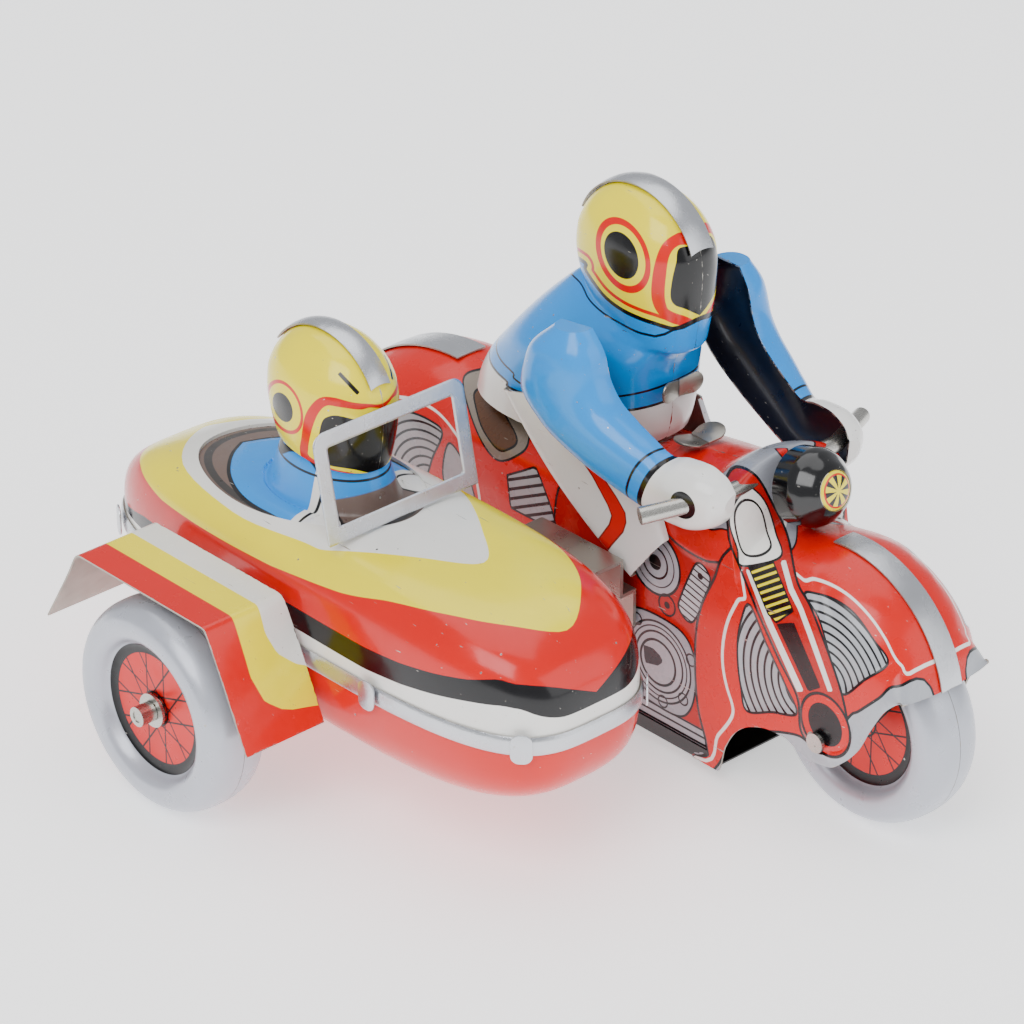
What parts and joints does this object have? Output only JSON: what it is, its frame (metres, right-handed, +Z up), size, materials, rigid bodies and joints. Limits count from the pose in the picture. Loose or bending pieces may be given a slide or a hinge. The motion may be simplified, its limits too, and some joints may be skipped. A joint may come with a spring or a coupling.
{
  "type": "wind-up toy motorcycle",
  "caption": "Lithographed tin wind-up motorcycle with a sidecar, helmeted rider and passenger, a geared spring motor on the rear wheel and a winding key.",
  "frame": {"origin": "bottom centre of the whole toy's box, on the surface that the wheels stand on", "axes": "+X forward, +Y to the rider's left, away from the sidecar, +Z up"},
  "size_m": [0.18, 0.149, 0.116],
  "materials": {
    "red_litho": "glossy red lithographed enamel on tinplate with black and grey line work",
    "black_base": "black enamel on tinplate",
    "silver_paint": "silver enamel on tinplate",
    "bare_tin": "bare tinplate, rubbed",
    "lamp_black": "glossy black enamel on tinplate",
    "lens_litho": "yellow lithographed enamel with a black petal pattern",
    "steel_rod": "zinc plated steel wire",
    "wheel_litho": "grey enamel tyre with a red spoke disc and a black ring",
    "sidecar_litho": "yellow, white, red and black lithographed bands",
    "tub_red": "glossy red enamel on tinplate",
    "cockpit_litho": "brown lithographed plate with blue sleeves and white hands",
    "helmet_litho": "yellow lithographed helmet with red and black rings and a black visor",
    "rider_litho": "blue jacket, white trousers and yellow helmet lithographed on tinplate",
    "motor_steel": "plain rolled steel",
    "spring_steel": "blued spring steel",
    "gear_brass": "stamped brass",
    "key_steel": "plated pressed steel"
  },
  "bodies": {
    "toy_body": {"body_right_shell": "red_litho", "body_left_shell": "red_litho", "base_plate": "black_base", "front_fender_strip": "silver_paint", "rear_fender_strip": "silver_paint", "tank_clip": "bare_tin", "headlamp_shell": "lamp_black", "headlamp_lens": "lens_litho", "handlebar": "steel_rod", "front_axle": "steel_rod", "sidecar_axle": "steel_rod", "axle_washer": "steel_rod", "axle_crimp": "steel_rod", "sidecar_top_shell": "sidecar_litho", "sidecar_tub": "tub_red", "rim_band": "silver_paint", "rim_clips": "bare_tin", "cockpit_plate": "cockpit_litho", "windshield_frame": "bare_tin", "sidecar_fender": "sidecar_litho", "sidecar_bracket": "bare_tin", "passenger_head_right": "helmet_litho", "passenger_head_left": "helmet_litho", "passenger_helmet_strip": "silver_paint", "rider_right_shell": "rider_litho", "rider_left_shell": "rider_litho", "rider_right_arm": "rider_litho", "rider_left_arm": "rider_litho", "rider_helmet_strip": "silver_paint", "chest_clip": "bare_tin", "motor_plate_right": "motor_steel", "motor_plate_left": "motor_steel", "motor_pillars": "motor_steel", "mainspring": "spring_steel"},
    "front_wheel": {"front_wheel_right_half": "wheel_litho", "front_wheel_left_half": "wheel_litho", "front_hub_sleeve": "steel_rod"},
    "rear_wheel": {"rear_axle": "steel_rod", "rear_wheel_right_half": "wheel_litho", "rear_wheel_left_half": "wheel_litho", "rear_hub_sleeve": "steel_rod", "axle_pinion": "gear_brass"},
    "sidecar_wheel": {"sidecar_wheel_outer_half": "wheel_litho", "sidecar_wheel_inner_half": "wheel_litho", "sidecar_hub_sleeve": "steel_rod"},
    "second_arbor_group": {"second_arbor": "motor_steel", "second_pinion": "gear_brass", "second_wheel": "gear_brass"},
    "great_wheel_group": {"great_wheel": "gear_brass", "click": "motor_steel", "click_spring": "spring_steel"},
    "winding_key": {"winding_arbor": "motor_steel", "ratchet_wheel": "motor_steel", "key_shaft": "key_steel", "key_bow": "key_steel"}
  },
  "joints": [
    {"name": "front_wheel_spin", "type": "hinge", "parent": "toy_body", "child": "front_wheel", "pos_m": [0.06754, 0.0345, 0.0225], "axis": [0, 1, 0], "continuous": true},
    {"name": "rear_wheel_spin", "type": "hinge", "parent": "toy_body", "child": "rear_wheel", "pos_m": [-0.05646, 0.0345, 0.0225], "axis": [0, 1, 0], "continuous": true},
    {"name": "sidecar_wheel_spin", "type": "hinge", "parent": "toy_body", "child": "sidecar_wheel", "pos_m": [-0.02946, -0.0655, 0.0225], "axis": [0, 1, 0], "continuous": true},
    {"name": "second_arbor_spin", "type": "hinge", "parent": "toy_body", "child": "second_arbor_group", "pos_m": [-0.03147, 0.0345, 0.0265], "axis": [0, 1, 0], "continuous": true},
    {"name": "great_wheel_spin", "type": "hinge", "parent": "toy_body", "child": "great_wheel_group", "pos_m": [-0.00832, 0.0345, 0.02499], "axis": [0, 1, 0], "continuous": true},
    {"name": "key_wind", "type": "hinge", "parent": "great_wheel_group", "child": "winding_key", "pos_m": [-0.00832, 0.0345, 0.02499], "axis": [0, -1, 0], "range_deg": [0, 1710]}
  ],
  "couplings": [
    {"joint": "second_arbor_spin", "follows": "rear_wheel_spin", "ratio": -0.33333},
    {"joint": "great_wheel_spin", "follows": "rear_wheel_spin", "ratio": 0.074074}
  ]
}
